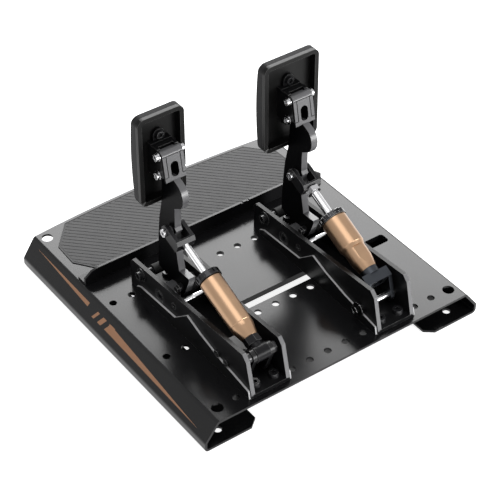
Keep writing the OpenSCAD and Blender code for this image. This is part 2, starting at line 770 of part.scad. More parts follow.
// Front plate that bends back at its top, and the narrower core behind it
module head_block() {
    half = head_h / 2;
    slab(-head_half, head_half)
        polygon(concat([behind_face(-half, 0)],
                       [for (a = [0 : 15 : 90])
                           behind_face(half - curl_r * (1 - sin(a)), curl_r * (1 - cos(a)))],
                       [behind_face(half - face_t, curl_r), behind_face(half - face_t, face_t),
                        behind_face(-half, face_t)]));
    slab(-core_half, core_half)
        polygon([behind_face(1 - half, face_t / 2), behind_face(half - curl_r, face_t / 2),
                 [cap_y, core_top], [core_back, core_top], [core_back, cheek_z[0] + 1]]);
}

module capsule(w, h) {
    square([w, h - w], center = true);
    for (side = [-1, 1])
        translate([0, side * (h - w) / 2]) circle(d = w);
}

module foot_pin(p) color(grey) on_pivot(p) {
    bar(foot_pin_at, -foot_pin_w / 2 + 3, foot_pin_w / 2 - 3, foot_pin_d[0]);
    bar(foot_pin_at, -foot_pin_w / 2, foot_pin_w / 2, foot_pin_d[1]);
}

// Channel that holds the pad to the head: a web against the tray, two cheeks, a cap and two tongues
module pad_bracket(p) color(dark) on_pivot(p) difference() {
    half = head_h / 2;
    union() {
        for (side = [0, 1])
            mirror([side, 0, 0]) slab(head_half - pad_bracket_t, head_half)
                polygon([[floor_y, cheek_z[0]], behind_face(2 - half, face_t + 8),
                         behind_face(5 - half, face_t + room), behind_face(half - 8, face_t + room),
                         behind_face(half - curl_r, curl_r + room), [cap_y + 4, cheek_z[1]],
                         [floor_y, cheek_z[1]]]);
        slab(-head_half, head_half) {
            translate([floor_y, cheek_z[0]]) square([pad_bracket_t, cheek_z[1] - cheek_z[0]]);
            translate([floor_y, cheek_z[1] - pad_bracket_t]) square([cap_y - floor_y, pad_bracket_t]);
        }
        translate([0, web_front, 0]) rotate([90, 0, 0]) linear_extrude(pad_bracket_t) hull()
            for (z = pad_bolt_z)
                translate([0, z]) circle(d = tongue_w);
    }
    pad_screw_bores();
    slab(-head_w, head_w) translate([(web_front + cap_y) / 2, cheek_z[1]])
        square([cap_groove[0], 2 * cap_groove[1]], center = true);
    for (z = pad_bolt_z)
        translate([0, floor_y - 1, z]) rotate([-90, 0, 0])
            cylinder(d = pad_bolt_d() + 2 * fit, h = 2 * pad_bracket_t);
}

function pad_bolt_d() = 5;

module pad_screws(p) color(steel) on_pivot(p)
    for (z = pad_screw_z, side = [0, 1])
        mirror([side, 0, 0]) difference() {
            union() {
                bar([pad_screw_y, z], pad_screw_tip(), head_half + 1, pad_screw_d());
                bar([pad_screw_y, z], head_half, head_half + washer[1], pad_screw_d() + 5.5);
                bar([pad_screw_y, z], head_half + washer[1], head_half + screw_head[1], screw_head[0]);
            }
            hex_bar([pad_screw_y, z], head_half + 3, head_half + screw_head[1] + 1, 4);
        }

// A pad is drawn in plan and stood up: x across, y up the pad, z back from the rim's plane
module pad_frame(p) {
    on_pivot(p) translate([0, pad_y, pad_z]) rotate([90, 0, 0]) children();
}

module pad_tray(p) color(grey) pad_frame(p) difference() {
    union() {
        linear_extrude(rim_t) rounded(pad_w[p], pad_h[p], pad_r);
        linear_extrude(tray_deep + tray_floor)
            rounded(pad_w[p] - 2 * tray_step, pad_h[p] - 2 * tray_step, pad_r - tray_step);
    }
    translate([0, 0, -1]) linear_extrude(tray_deep + 1)
        rounded(pad_w[p] - 2 * rim_w, pad_h[p] - 2 * rim_w, pad_r - rim_w);
    for (z = pad_bolt_z)
        translate([0, z - pad_z, 0]) cylinder(d = pad_bolt_d() + 2 * fit, h = tray_deep + 2 * tray_floor);
}

// Rubber tread behind the tray, crowned towards the driver's shoe
module pad_tread(p) color(rubber) pad_frame(p) difference() {
    intersection() {
        translate([0, 0, rim_t]) linear_extrude(pad_t + pad_crown - rim_t)
            rounded(pad_w[p], pad_h[p], pad_r);
        translate([-pad_w[p], 0, pad_t + pad_crown - crown_r(p)]) rotate([0, 90, 0])
            cylinder(r = crown_r(p), h = 2 * pad_w[p], $fn = 360);
    }
    linear_extrude(tray_deep + tray_floor)
        rounded(pad_w[p] - 2 * tray_step + 2 * fit, pad_h[p] - 2 * tray_step + 2 * fit,
                pad_r - tray_step + fit);
    for (z = pad_bolt_z)
        translate([0, z - pad_z, 0]) cylinder(d = pad_bolt_d() + 5, h = tray_deep + tray_floor + pad_nut_h());
}

function crown_r(p) = (pow(pad_h[p] / 2, 2) + pow(pad_crown, 2)) / (2 * pad_crown);
function pad_nut_h() = 1.2;

module pad_bolts(p) color(steel) pad_frame(p)
    for (z = pad_bolt_z)
        translate([0, z - pad_z, 0]) {
            translate([0, 0, tray_deep - pad_bracket_t]) mirror([0, 0, 1]) difference() {
                cylinder(d1 = pad_bolt_d() + 5.5, d2 = pad_bolt_d() + 4, h = 3.5);
                translate([0, 0, 1]) cylinder(d = 5 / cos(30), h = 3, $fn = 6);
            }
            translate([0, 0, tray_deep - pad_bracket_t])
                cylinder(d = pad_bolt_d(), h = pad_bracket_t + tray_floor + 0.5);
            translate([0, 0, tray_deep + tray_floor])
                cylinder(d = pad_bolt_d() + 4.5, h = pad_nut_h() - fit);
        }

module clevis(p) color(grey) on_damper(p) difference() {
    union() {
        for (side = [-1, 1])
            damper_slab(side < 0 ? -clevis_w / 2 : clevis_w / 2 - clevis_t,
                        side < 0 ? clevis_t - clevis_w / 2 : clevis_w / 2) {
                circle(clevis_r);
                translate([0, -clevis_r]) square([clevis_l - bridge_t + 1, 2 * clevis_r]);
            }
        damper_slab(-clevis_w / 2, clevis_w / 2)
            polygon([[clevis_l - bridge_t, -clevis_r], [clevis_l - 2, -clevis_r], [clevis_l, 2 - clevis_r],
                     [clevis_l, clevis_r - 4], [clevis_l - 4, clevis_r], [clevis_l - bridge_t, clevis_r]]);
    }
    bar([0, 0], -clevis_w, clevis_w, clevis_bolt_d + 2 * fit);
    cylinder(d = rod_d[p] + 2 * fit, h = clevis_l + 1);
}

module clevis_bolt(p) color(steel) on_damper(p) {
    bar([0, 0], -clevis_w / 2, clevis_w / 2 + 1, clevis_bolt_d);
    difference() {
        bar([0, 0], clevis_w / 2, clevis_w / 2 + 4, clevis_bolt_d + 3.5);
        hex_bar([0, 0], clevis_w / 2 + 2, clevis_w / 2 + 5, clevis_bolt_d - 2);
    }
}

module rod(p) color(steel) on_damper(p)
    translate([0, 0, clevis_l - bridge_t])
        cylinder(d = rod_d[p], h = piston_s[p] + piston_t / 2 - clevis_l + bridge_t);

module brake_lock_nut() color(steel) on_damper(1) translate([0, 0, clevis_l]) difference() {
    cylinder(d = (rod_d[1] + 6) / cos(30), h = lock_nut_h, $fn = 6);
    translate([0, 0, -1]) cylinder(d = rod_d[1] + 2 * fit, h = lock_nut_h + 2);
}

module piston(p) color(steel) on_damper(p) translate([0, 0, piston_s[p]]) difference() {
    cylinder(d = sleeve_bore[p] - 2 * rod_room[p] - 0.4, h = piston_t);
    translate([0, 0, -1]) cylinder(d = rod_d[p] + 2 * fit, h = piston_t / 2 + 1 + fit);
}

module collar(p) color(dark) on_damper(p) translate([0, 0, sleeve_start[p] - collar_l[p]]) difference() {
    union() {
        cylinder(d1 = collar_d[p] - 1.6, d2 = collar_d[p], h = 0.8);
        translate([0, 0, 0.8]) cylinder(d = collar_d[p], h = collar_l[p] - 0.8);
    }
    translate([0, 0, -1]) cylinder(d = bush_d(p) + 2 * fit, h = collar_l[p] + 2);
    for (i = [0 : notches - 1])
        rotate([0, 0, (i + 0.5) * 360 / notches])
            translate([collar_d[p] / 2 - 1.2, -1.2, -1]) cube([3, 2.4, collar_l[p] - 1]);
}

function bush_d(p) = rod_d[p] + 2 * rod_room[p] + 4;

module guide_bush(p) color(copper) on_damper(p)
translate([0, 0, sleeve_start[p] - collar_l[p] - 0.6]) difference() {
    union() {
        cylinder(d = bush_d(p), h = collar_l[p] + 10);
        cylinder(d = bush_d(p) + 3, h = 0.6 - fit);
        translate([0, 0, collar_l[p] + 0.6 + fit]) cylinder(d = sleeve_bore[p] - 2 * fit, h = 7);
    }
    translate([0, 0, -1]) cylinder(d = rod_d[p] + 2 * rod_room[p], h = collar_l[p] + 12);
}

// Radius of the sleeve along its length, from the collar to the end fitting
module sleeve(p) color(copper) on_damper(p) translate([0, 0, sleeve_start[p]]) difference() {
    rotate_extrude()
        polygon([[sleeve_bore[p] / 2, 0], [sleeve_d[p] / 2 - 0.8, 0], [sleeve_d[p] / 2, 0.8],
                 [sleeve_d[p] / 2, seam_at[p] - 0.4], [sleeve_d[p] / 2 - 0.4, seam_at[p]],
                 [sleeve_mid_d[p] / 2, seam_at[p] + (p == 0 ? 0.4 : 5)],
                 [sleeve_mid_d[p] / 2, taper_at[p]],
                 [sleeve_end_d[p] / 2, sleeve_l[p]], [spigot_d() / 2 + fit, sleeve_l[p]],
                 [spigot_d() / 2 + fit, bore_deep[p]], [sleeve_bore[p] / 2, bore_deep[p]]]);
    if (p == 1)
        for (a = [0, 180])
            rotate([0, 0, a]) translate([-20, sleeve_mid_d[p] / 2 - 1.6, seam_at[p] + 4])
                cube([40, 10, taper_at[p] - seam_at[p] + 2]);
}

function spigot_d() = 9;

module throttle_spring() color(steel) on_damper(0)
    translate([0, 0, piston_s[0] + piston_t + fit]) difference() {
        cylinder(d = sleeve_bore[0] - 3,
                 h = sleeve_start[0] + bore_deep[0] - piston_s[0] - piston_t - 2 * fit);
        translate([0, 0, -1]) cylinder(d = sleeve_bore[0] - 8, h = bore_deep[0]);
    }

// Rubber rings with thin steel discs between them
module brake_elastomers() color(rubber) on_damper(1) {
    stack = sleeve_start[1] + bore_deep[1] - piston_s[1] - piston_t;
    ring = stack / 3;
    for (i = [0 : 2])
        translate([0, 0, piston_s[1] + piston_t + fit + i * ring]) difference() {
            cylinder(d = sleeve_bore[1] - 2, h = ring - 2 * fit);
            translate([0, 0, -1]) cylinder(d = sleeve_bore[1] - 12, h = ring + 2);
        }
}

// Hexagon below the sleeve, with an eye round the lower pin
module throttle_rod_end() color(grey) on_damper(0) difference() {
    union() {
        translate([0, 0, sleeve_end[0] - 8]) cylinder(d = spigot_d(), h = 10);
        translate([0, 0, sleeve_end[0]]) rotate([0, 0, 30])
            cylinder(d = hexagon[0] / cos(30), h = hexagon[1], $fn = 6);
        translate([0, 0, sleeve_end[0]]) cylinder(d = hexagon[0] - 2, h = sleeve_gap[0]);
        translate([0, 0, pin_s[0]]) bar([0, 0], -eye_size[1] / 2, eye_size[1] / 2, eye_size[0]);
    }
    translate([0, 0, pin_s[0]]) bar([0, 0], -eye_size[1], eye_size[1], pin_d + 2 * fit);
}

// Block below the brake's sleeve, with two legs down to the lower pin
module brake_end_block() color(grey) on_damper(1) difference() {
    union() {
        translate([0, 0, sleeve_end[1] - 8]) cylinder(d = spigot_d(), h = 9);
        translate([0, 0, sleeve_end[1]]) cylinder(d = neck[0], h = neck[1] + 1);
        damper_slab(-end_block[0] / 2, end_block[0] / 2)
            translate([block_s, -end_block[1] / 2]) square([end_block[2], end_block[1]]);
        for (side = [-1, 1])
            damper_slab(side < 0 ? -end_block[0] / 2 : end_block[0] / 2 - leg_t,
                        side < 0 ? leg_t - end_block[0] / 2 : end_block[0] / 2) {
                polygon([[block_s + 1, 1 - end_block[1] / 2], [block_s + 1, end_block[1] / 2 - 1],
                         [block_s + end_block[2], end_block[1] / 2 - 1],
                         [pin_s[1] + pin_d * 0.8, -pin_drop[1] + pin_d * 0.6],
                         [pin_s[1] - pin_d * 0.8, -pin_drop[1] - pin_d * 0.6]]);
                translate([pin_s[1], -pin_drop[1]]) circle(pin_d);
            }
    }
    translate([0, pin_drop[1], pin_s[1]]) bar([0, 0], -outer, outer, pin_d + 2 * fit);
    translate([0, 0, sleeve_end[1] + 5]) cylinder(d = cell_size[0] + 2 * fit, h = neck[1] + end_block[2]);
}

module brake_load_cell() color(steel) on_damper(1) translate([0, 0, sleeve_end[1] + 5 + fit])
    cylinder(d = cell_size[0], h = cell_size[1]);

base_plate();
heel_stop();
heel_stop_screws();
heel_mat();
bracket_bolts();
bolt_bars();
spreader_screws();
pivot_bearings();
bracket(0);  // throttle_bracket
side_plates(0);  // throttle_side_plates
spreader_bar(0);  // throttle_spreader_bar
rest_pin(0);  // throttle_rest_pin
rest_bumper(0);  // throttle_rest_bumper
throttle_anchor();
throttle_anchor_screws();
throttle_lower_pin();
throttle_sensor();
arm(0);  // throttle_arm
pivot_shaft(0);  // throttle_pivot_shaft
throttle_magnet();
foot_pin(0);  // throttle_foot_pin
pad_bracket(0);  // throttle_pad_bracket
pad_screws(0);  // throttle_pad_screws
pad_tray(0);  // throttle_pad_tray
pad_tread(0);  // throttle_pad_tread
pad_bolts(0);  // throttle_pad_bolts
clevis(0);  // throttle_clevis
clevis_bolt(0);  // throttle_clevis_bolt
rod(0);  // throttle_rod
piston(0);  // throttle_piston
collar(0);  // throttle_collar
sleeve(0);  // throttle_sleeve
guide_bush(0);  // throttle_guide_bush
throttle_spring();
throttle_rod_end();
bracket(1);  // brake_bracket
side_plates(1);  // brake_side_plates
spreader_bar(1);  // brake_spreader_bar
rest_pin(1);  // brake_rest_pin
rest_bumper(1);  // brake_rest_bumper
brake_lower_pin();
arm(1);  // brake_arm
pivot_shaft(1);  // brake_pivot_shaft
foot_pin(1);  // brake_foot_pin
pad_bracket(1);  // brake_pad_bracket
pad_screws(1);  // brake_pad_screws
pad_tray(1);  // brake_pad_tray
pad_tread(1);  // brake_pad_tread
pad_bolts(1);  // brake_pad_bolts
clevis(1);  // brake_clevis
clevis_bolt(1);  // brake_clevis_bolt
rod(1);  // brake_rod
brake_lock_nut();
piston(1);  // brake_piston
collar(1);  // brake_collar
sleeve(1);  // brake_sleeve
guide_bush(1);  // brake_guide_bush
brake_elastomers();
brake_end_block();
brake_load_cell();
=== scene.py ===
"""Looks for a sim racing pedal set: a bent sheet base that carries a throttle and a brake pedal."""
import json
import math

import bmesh
import bpy
from mathutils import Matrix, Quaternion, Vector


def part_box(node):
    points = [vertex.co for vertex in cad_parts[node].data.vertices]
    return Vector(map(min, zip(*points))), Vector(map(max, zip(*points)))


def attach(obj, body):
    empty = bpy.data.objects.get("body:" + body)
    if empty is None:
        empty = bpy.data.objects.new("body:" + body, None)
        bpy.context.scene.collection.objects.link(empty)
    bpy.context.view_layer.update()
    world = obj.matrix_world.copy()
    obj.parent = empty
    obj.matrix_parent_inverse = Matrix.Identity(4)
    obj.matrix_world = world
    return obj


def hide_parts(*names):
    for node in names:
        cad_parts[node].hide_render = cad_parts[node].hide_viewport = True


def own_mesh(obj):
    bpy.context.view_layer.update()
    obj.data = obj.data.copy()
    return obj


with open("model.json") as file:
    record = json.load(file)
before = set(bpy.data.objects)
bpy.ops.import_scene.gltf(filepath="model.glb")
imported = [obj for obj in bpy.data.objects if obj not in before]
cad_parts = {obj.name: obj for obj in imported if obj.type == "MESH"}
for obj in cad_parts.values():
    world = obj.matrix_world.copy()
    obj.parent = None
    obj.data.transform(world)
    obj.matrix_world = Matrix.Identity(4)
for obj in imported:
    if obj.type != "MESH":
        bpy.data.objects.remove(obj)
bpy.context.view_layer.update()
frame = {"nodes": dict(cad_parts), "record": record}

MM = 0.001

SIDES = ("throttle", "brake")
# How steeply each damper rises towards the clevis bolt, in degrees
DAMPER_TILT = {"throttle": 22.015, "brake": 24.62}


def damper_axis(side):
    """The way a damper points, from its lower pin up to the clevis bolt."""
    lean = math.radians(DAMPER_TILT[side])
    return (0, -math.cos(lean), math.sin(lean))


# Shader maths

class Value:
    """A number, colour or vector that varies over a surface. Maths on a number adds Math nodes."""

    def __init__(self, finish, socket):
        self.finish = finish
        self.socket = socket

    def maths(self, operation, *values):
        return self.finish.add("ShaderNodeMath", {"operation": operation}, dict(enumerate(values)))

    def __add__(self, other):
        return self.maths("ADD", self, other)

    __radd__ = __add__

    def __sub__(self, other):
        return self.maths("SUBTRACT", self, other)

    def __rsub__(self, other):
        return self.maths("SUBTRACT", other, self)

    def __mul__(self, other):
        return self.maths("MULTIPLY", self, other)

    __rmul__ = __mul__

    def __truediv__(self, other):
        return self.maths("DIVIDE", self, other)

    def __rtruediv__(self, other):
        return self.maths("DIVIDE", other, self)

    def __gt__(self, other):
        return self.maths("GREATER_THAN", self, other)

    def __lt__(self, other):
        return self.maths("LESS_THAN", self, other)

    def __abs__(self):
        return self.maths("ABSOLUTE", self)


class Finish:
    """The nodes of a material or the world, worked out from where a point is on the object at rest."""

    def __init__(self, owner):
        owner.use_nodes = True
        self.owner = owner
        self.nodes = owner.node_tree.nodes
        self.links = owner.node_tree.links
        self.nodes.clear()

    def add(self, kind, settings=None, values=None, output=0):
        """Adds a node, with its settings first and then the values or links of its sockets."""
        node = self.nodes.new(kind)
        for name, setting in (settings or {}).items():
            setattr(node, name, setting)
        for name, value in (values or {}).items():
            if isinstance(value, Value):
                self.links.new(value.socket, node.inputs[name])
            else:
                node.inputs[name].default_value = value
        return Value(self, node.outputs[output])

    def place(self):
        return self.add("ShaderNodeTexCoord", output="Object")

    def along(self, way):
        """Distance along a direction, in metres."""
        return self.add("ShaderNodeVectorMath", {"operation": "DOT_PRODUCT"},
                        {0: self.place(), 1: way}, "Value")

    def noise(self, size, detail=2.0, spread=0.5):
        """Noise from 0 to 1 with patches of about this size in metres."""
        return self.add("ShaderNodeTexNoise", None,
                        {"Vector": self.place(), "Scale": 1 / size, "Detail": detail, "Roughness": spread})

    def rings(self, way, size, detail=3.0):
        """Noise that changes only along a direction, such as the marks that turning leaves."""
        return self.add("ShaderNodeTexNoise", {"noise_dimensions": "1D"},
                        {"W": self.along(way), "Scale": 1 / size, "Detail": detail})

    def marked(self, name):
        """1 on the faces with this mark, 0 elsewhere."""
        return self.add("ShaderNodeAttribute", {"attribute_name": name}, output="Fac")

    def mix(self, share, first, second):
        return self.add("ShaderNodeMix", {"data_type": "RGBA"},
                        {0: share, 6: rgba(first), 7: rgba(second)}, 2)

    def mix_shaders(self, share, first, second):
        return self.add("ShaderNodeMixShader", None, {0: share, 1: first, 2: second})

    def bump(self, height, depth):
        """A relief of this depth in metres, where height goes from 0 to 1."""
        return self.add("ShaderNodeBump", None, {"Strength": 1.0, "Distance": depth, "Height": height})

    def shader(self, **values):
        """A shader that has these values."""
        names = {name.replace("_", " "): value for name, value in values.items()}
        return self.add("ShaderNodeBsdfPrincipled", None, names)

    def end(self, shader, output="ShaderNodeOutputMaterial"):
        """Makes this shader what shows, and gives back the material."""
        self.links.new(shader.socket, self.nodes.new(output).inputs["Surface"])
        return self.owner


def new_finish(name):
    return Finish(bpy.data.materials.new(name))


def rgba(colour):
    """A grey, a colour of three numbers or a Value, as a colour socket takes it."""
    if isinstance(colour, Value):
        return colour
    if isinstance(colour, float):
        colour = (colour, colour, colour)
    return (*colour, 1.0)


def shade(colour, share):
    return tuple(c * share for c in colour)


def about(middle, *patterns):
    """A number that strays from its middle with each pattern, by at most half its spread."""
    for pattern, spread in patterns:
        middle = middle + (pattern - 0.5) * spread
    return middle


# Finishes

# Sizes of the patches and specks in a coat, and how uneven the specks are
PATCH = 60 * MM
SPECK = 3 * MM
SPECK_SPREAD = 0.7
# Specks above this level are rubbed off a broken edge, and how far the tone then goes towards bare metal
RUB_LEVEL = 0.4
RUB_SHARE = 0.7
# How dark and how pale a tone gets from patch to patch, as shares of its colour
COAT_TONES = (0.75, 1.3)
SECOND_TONE_RANGE = (0.8, 1.2)
SOFT_TONES = (0.7, 1.35)
SECOND_TONE_GLOSS = 0.5


def coat(name, colour, roughness, gloss, second_tone=None, peel=0.9 * MM, depth=0.004 * MM, bare=0.09):
    """Powder coat or anodising: slightly uneven, with a fine grain, and rubbed where edges break.

    Faces marked for the second tone take the tone given for it, and bare is the tone of the rubbed edges.
    On the brackets, side plates and arms that tone is a paler grey on the faces not turned sideways:
    painted reflection, as well as bare cut metal.
    """
    f = new_finish(name)
    patches = f.noise(PATCH, 3)
    specks = f.noise(SPECK, 4, SPECK_SPREAD)
    rubbed = f.marked("edge") * (specks > RUB_LEVEL) * RUB_SHARE
    rough = about(roughness, (patches, 0.08), (specks, 0.06))
    grain = f.bump(f.noise(peel), depth)

    def layer(colour, tones, shine):
        low, high = (shade(colour, tone) for tone in tones)
        return f.shader(Base_Color=f.mix(rubbed, f.mix(patches, low, high), bare), Roughness=rough,
                        Specular_IOR_Level=shine, Normal=grain)

    coated = layer(colour, COAT_TONES, gloss)
    if second_tone:
        # Painted reflection: the paler second tone on the faces marked for it, as well as bare cut metal
        coated = f.mix_shaders(f.marked("second_tone"), coated, layer(second_tone, SECOND_TONE_RANGE, SECOND_TONE_GLOSS))
    return f.end(coated)


def metal(name, colour, roughness, way=None, ring=0.25 * MM, depth=0.003 * MM, tarnish=0.8, worn_and_glint=None,
          second_tone=None):
    """Bare or plated metal with fine marks from turning or grinding, and a slightly uneven tone.

    The marks of turning run round the way given. The tone sinks to the tarnish share of the colour, an edge
    tone where given is that of the broken edges, worn metal with a painted highlight on them, and the second
    tone is that of the faces marked for it.
    """
    f = new_finish(name)
    marks = f.rings(way, ring) if way else f.noise(ring, 3)
    patches = f.noise(12 * MM, 3)
    tone = f.mix(patches, shade(colour, tarnish), colour)
    if second_tone:
        tone = f.mix(f.marked("second_tone"), tone, second_tone)
    return f.end(f.shader(
        Base_Color=f.mix(f.marked("edge") * 0.8, tone, worn_and_glint or shade(colour, 1.2)),
        Metallic=1.0,
        Roughness=about(roughness, (marks, 0.12), (patches, 0.06)),
        Normal=f.bump(marks, depth),
    ))


def soft(name, colour, roughness, grain, depth, gloss=0.3):
    """Rubber or moulded plastic: a fine pebbled skin, paler where it is scuffed."""
    f = new_finish(name)
    pebbles = f.noise(grain, 3, 0.6)
    scuffs = f.noise(14 * MM, 5, 0.7)
    return f.end(f.shader(
        Base_Color=f.mix(scuffs, *(shade(colour, tone) for tone in SOFT_TONES)),
        Roughness=about(roughness, (scuffs, 0.14)),
        Specular_IOR_Level=gloss,
        Normal=f.bump(pebbles, depth),
    ))


# The base's sloping sides, across (x) and up (z): a point at the top and the way down. The trim is painted
# only beyond this x and above this z
SLOPE_TOP = (175.5 * MM, 35.5 * MM)
SLOPE_DOWN = (0.601, -0.799)
TRIM_BEYOND_X = 176.6 * MM
TRIM_ABOVE_Z = 14.0 * MM

# The trim's long stripes: how far along the base the tip and the end are, how far down the slope each is,
# and the width at the end
LONG_STRIPES = (
    (176 * MM, -12 * MM, 21.5 * MM, 13.5 * MM, 9.8 * MM),
    (-172 * MM, -52 * MM, 6.5 * MM, 10.5 * MM, 5.2 * MM),
)
# The short bars between the stripes: place along the base and length
SHORT_BARS = ((-3.5 * MM, 10 * MM), (-18.5 * MM, 7 * MM), (-30.5 * MM, 4.5 * MM))
BAR_TOP = 8.5 * MM
BAR_BOTTOM = 18.5 * MM
# How far the end of a stripe leans for each metre down, as a share of the stripe's length, and how far a bar
# leans, in metres
END_LEAN = 1.2
BAR_LEAN = 0.55

BASE_LOW = (0.0038, 0.0038, 0.0042)
BASE_HIGH = (0.0065, 0.0065, 0.0072)
BASE_BARE = 0.09
COPPER_PAINT = (0.40, 0.205, 0.115)


def long_stripe(along, down, tip, end, tip_down, end_down, width):
    """A stripe that widens from its tip to its slanted end."""
    share = (along - tip) / (end - tip)
    middle = share * (end_down - tip_down) + tip_down
    inside = abs(down - middle) < share * (width / 2)
    return inside * (share > 0) * (share + down * END_LEAN < 1)


def short_bar(along, down, start, length):
    """A slanted bar between two heights on the slope."""
    slanted = along + down * BAR_LEAN
    return (slanted > start) * (slanted < start + length) * (down > BAR_TOP) * (down < BAR_BOTTOM)


def base_coat():
    """The base's black coat, with a plain striped trim in copper paint on its sloping sides."""
    f = new_finish("base_coat")
    place = f.add("ShaderNodeSeparateXYZ", None, {"Vector": f.place()})
    parts = place.socket.node.outputs
    x = abs(Value(f, parts["X"]))
    y = Value(f, parts["Y"])
    z = Value(f, parts["Z"])
    down = (x - SLOPE_TOP[0]) * SLOPE_DOWN[0] + (z - SLOPE_TOP[1]) * SLOPE_DOWN[1]
    stripes = sum(long_stripe(y, down, *stripe) for stripe in LONG_STRIPES)
    bars = sum(short_bar(y, down, *bar) for bar in SHORT_BARS)
    trim = (stripes + bars) * (x > TRIM_BEYOND_X) * (z > TRIM_ABOVE_Z)
    patches = f.noise(PATCH, 3)
    specks = f.noise(SPECK, 4, SPECK_SPREAD)
    rubbed = f.marked("edge") * (specks > 0.5) * 0.5
    black = f.mix(patches, BASE_LOW, BASE_HIGH)
    copper = f.mix(specks, COPPER_PAINT, shade(COPPER_PAINT, 0.8))
    return f.end(f.shader(
        Base_Color=f.mix(rubbed, f.mix(trim, black, copper), BASE_BARE),
        Roughness=about(0.2, (patches, 0.05), (specks, 0.04)) + trim * 0.15,
        Specular_IOR_Level=0.25,
        Normal=f.bump(f.noise(1.1 * MM), 0.003 * MM),
    ))


def tray_alloy():
    """A pad's dark anodised tray with painted light and shade: grey on the rim and the outer edge where they
    do not face sideways, a painted highlight, and nearly black in the recess and on the sideways faces,
    painted shade.
    """
    f = new_finish("pad_alloy")
    patches = f.noise(40 * MM, 3)
    grain = f.noise(0.4 * MM, 3)
    # Painted shade: the recess and the sideways faces nearly black. Painted light: the rim grey
    shaded_recess = f.mix(patches, 0.004, 0.007)
    lit_rim = f.mix(patches, 0.075, 0.1)
    return f.end(f.shader(
        Base_Color=f.mix(f.marked("second_tone"), shaded_recess, lit_rim),
        Roughness=about(0.36, (patches, 0.08), (grain, 0.06)),
        Specular_IOR_Level=0.12,
        Normal=f.bump(grain, 0.004 * MM),
    ))


FINISH_OF = {}
EDGE_OF = {}


def dress(finish, *nodes, edge=0):
    """Sets what these nodes are finished in, and how wide their broken edges are in millimetres."""
    for node in nodes:
        FINISH_OF[node] = finish
        EDGE_OF[node] = edge


def of_sides(*names):
    return [f"{side}_{name}" for side in SIDES for name in names]


BLACK = (0.005, 0.005, 0.0055)
SCREW_BLACK = (0.008, 0.008, 0.009)
FINE_PEEL = 0.4 * MM
ACROSS = (1, 0, 0)

dress(base_coat(), "base_plate", edge=0.5)
dress(coat("stop_coat", BLACK, 0.3, gloss=0.3), "heel_stop", "throttle_anchor", edge=0.35)
# The second tone on the brackets, side plates and arms: a paler grey on their faces not turned sideways,
# painted reflection as well as bare cut metal
dress(coat("bracket_coat", BLACK, 0.3, gloss=0.15, second_tone=(0.14, 0.14, 0.145), bare=0.4),
      *of_sides("bracket"), edge=0.35)
dress(coat("plate_coat", BLACK, 0.3, gloss=0.15, second_tone=(0.5, 0.5, 0.51), bare=0.4),
      *of_sides("side_plates"), edge=0.35)
dress(coat("arm_coat", (0.003, 0.003, 0.0034), 0.3, gloss=0.02, second_tone=(0.09, 0.09, 0.094), peel=FINE_PEEL),
      *of_sides("arm"), edge=0.5)
dress(coat("head_coat", BLACK, 0.3, gloss=0.15, peel=FINE_PEEL), *of_sides("pad_bracket"), edge=0.5)
dress(coat("clevis_coat", (0.010, 0.010, 0.011), 0.3, gloss=0.2, peel=FINE_PEEL, bare=0.3),
      *of_sides("clevis", "foot_pin"), edge=0.35)
dress(coat("screw_coat", SCREW_BLACK, 0.24, gloss=0.5, peel=0.3 * MM),
      "bracket_bolts", "heel_stop_screws", "spreader_screws", "throttle_anchor_screws",
      "throttle_lower_pin", "pivot_bearings", *of_sides("rest_pin", "pad_bolts", "pivot_shaft"), edge=0.3)
dress(coat("bar_coat", (0.03, 0.03, 0.031), 0.35, gloss=0.4), "bolt_bars", edge=0.3)
dress(soft("mat_edge", (0.037, 0.037, 0.038), 0.5, grain=0.35 * MM, depth=0.01 * MM), "heel_mat")
dress(tray_alloy(), *of_sides("pad_tray"), edge=0.5)
dress(soft("tread_rubber", (0.018, 0.018, 0.019), 0.55, grain=0.4 * MM, depth=0.02 * MM, gloss=0.1),
      *of_sides("pad_tread"), edge=0.5)
dress(soft("bumper_rubber", (0.012, 0.012, 0.012), 0.7, grain=0.3 * MM, depth=0.02 * MM),
      *of_sides("rest_bumper"), "brake_elastomers", edge=0.3)
dress(metal("screw_steel", (0.50, 0.50, 0.51), 0.24),
      *of_sides("pad_screws", "clevis_bolt"), "brake_lock_nut", edge=0.2)
dress(metal("pin_steel", (0.66, 0.66, 0.67), 0.2, second_tone=0.025), "brake_lower_pin", edge=0.2)
dress(metal("cross_steel", (0.72, 0.72, 0.73), 0.12, ACROSS, ring=0.3 * MM, depth=0.001 * MM),
      *of_sides("spreader_bar"), edge=0.3)
